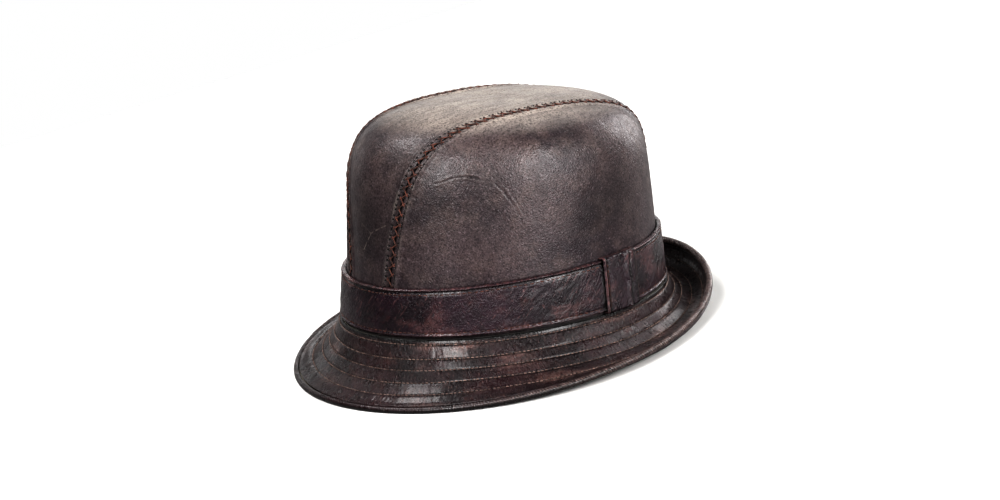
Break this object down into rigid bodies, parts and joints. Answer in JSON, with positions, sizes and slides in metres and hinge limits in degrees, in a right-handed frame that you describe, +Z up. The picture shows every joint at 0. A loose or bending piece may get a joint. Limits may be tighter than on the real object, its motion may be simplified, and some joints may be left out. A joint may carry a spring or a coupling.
{
  "type": "fedora hat",
  "caption": "Round-crowned leather hat with three sewn crown panels, a band with a keeper, and a short stitched brim that dips in front and curls up behind.",
  "frame": {"origin": "on the table under the middle of the hat, which lies on its brim", "axes": "+Z up from the table, -Y to the front of the hat, +X to the wearer's left; the crown leans back by about four degrees"},
  "size_m": [0.2632, 0.2856, 0.1604],
  "materials": {
    "crown_leather": "matte distressed full-grain leather, dark grey-brown with paler rubbed patches",
    "brim_leather": "waxed dark brown leather, satin sheen, fine creases",
    "band_leather": "polished very dark brown leather with rolled edges",
    "edge_leather": "waxed brown leather, rubbed lighter along the roll",
    "sweatband_leather": "smooth tan lining leather",
    "seam_thread": "thick reddish-brown waxed thread",
    "brim_thread": "dark brown waxed thread",
    "cotton_tape": "woven cotton tape",
    "stiffening": "bonded non-woven stiffening",
    "lining": "satin-weave lining",
    "spring_wire": "drawn spring wire"
  },
  "bodies": {
    "root": {"crown_centre_panel": "crown_leather", "crown_left_panel": "crown_leather", "crown_right_panel": "crown_leather", "left_seam_stitching": "seam_thread", "right_seam_stitching": "seam_thread", "left_seam_tape": "cotton_tape", "right_seam_tape": "cotton_tape", "crown_interlining": "stiffening", "lining_side": "lining", "lining_tip": "lining", "brim_join_tape": "cotton_tape", "hat_band": "band_leather", "band_keeper": "band_leather", "band_top_stitching": "seam_thread", "band_bottom_stitching": "seam_thread", "keeper_stitching": "seam_thread", "brim_top": "brim_leather", "brim_stiffener": "stiffening", "brim_underside": "brim_leather", "brim_edge_wire": "spring_wire", "brim_edge_binding": "edge_leather", "brim_join_stitching": "brim_thread", "brim_stitch_row_1": "brim_thread", "brim_stitch_row_2": "brim_thread", "brim_stitch_row_3": "brim_thread", "brim_stitch_row_4": "brim_thread", "sweatband": "sweatband_leather", "sweatband_reed": "sweatband_leather", "sweatband_stitching": "seam_thread", "sweatband_back_tab": "sweatband_leather"}
  },
  "joints": []
}
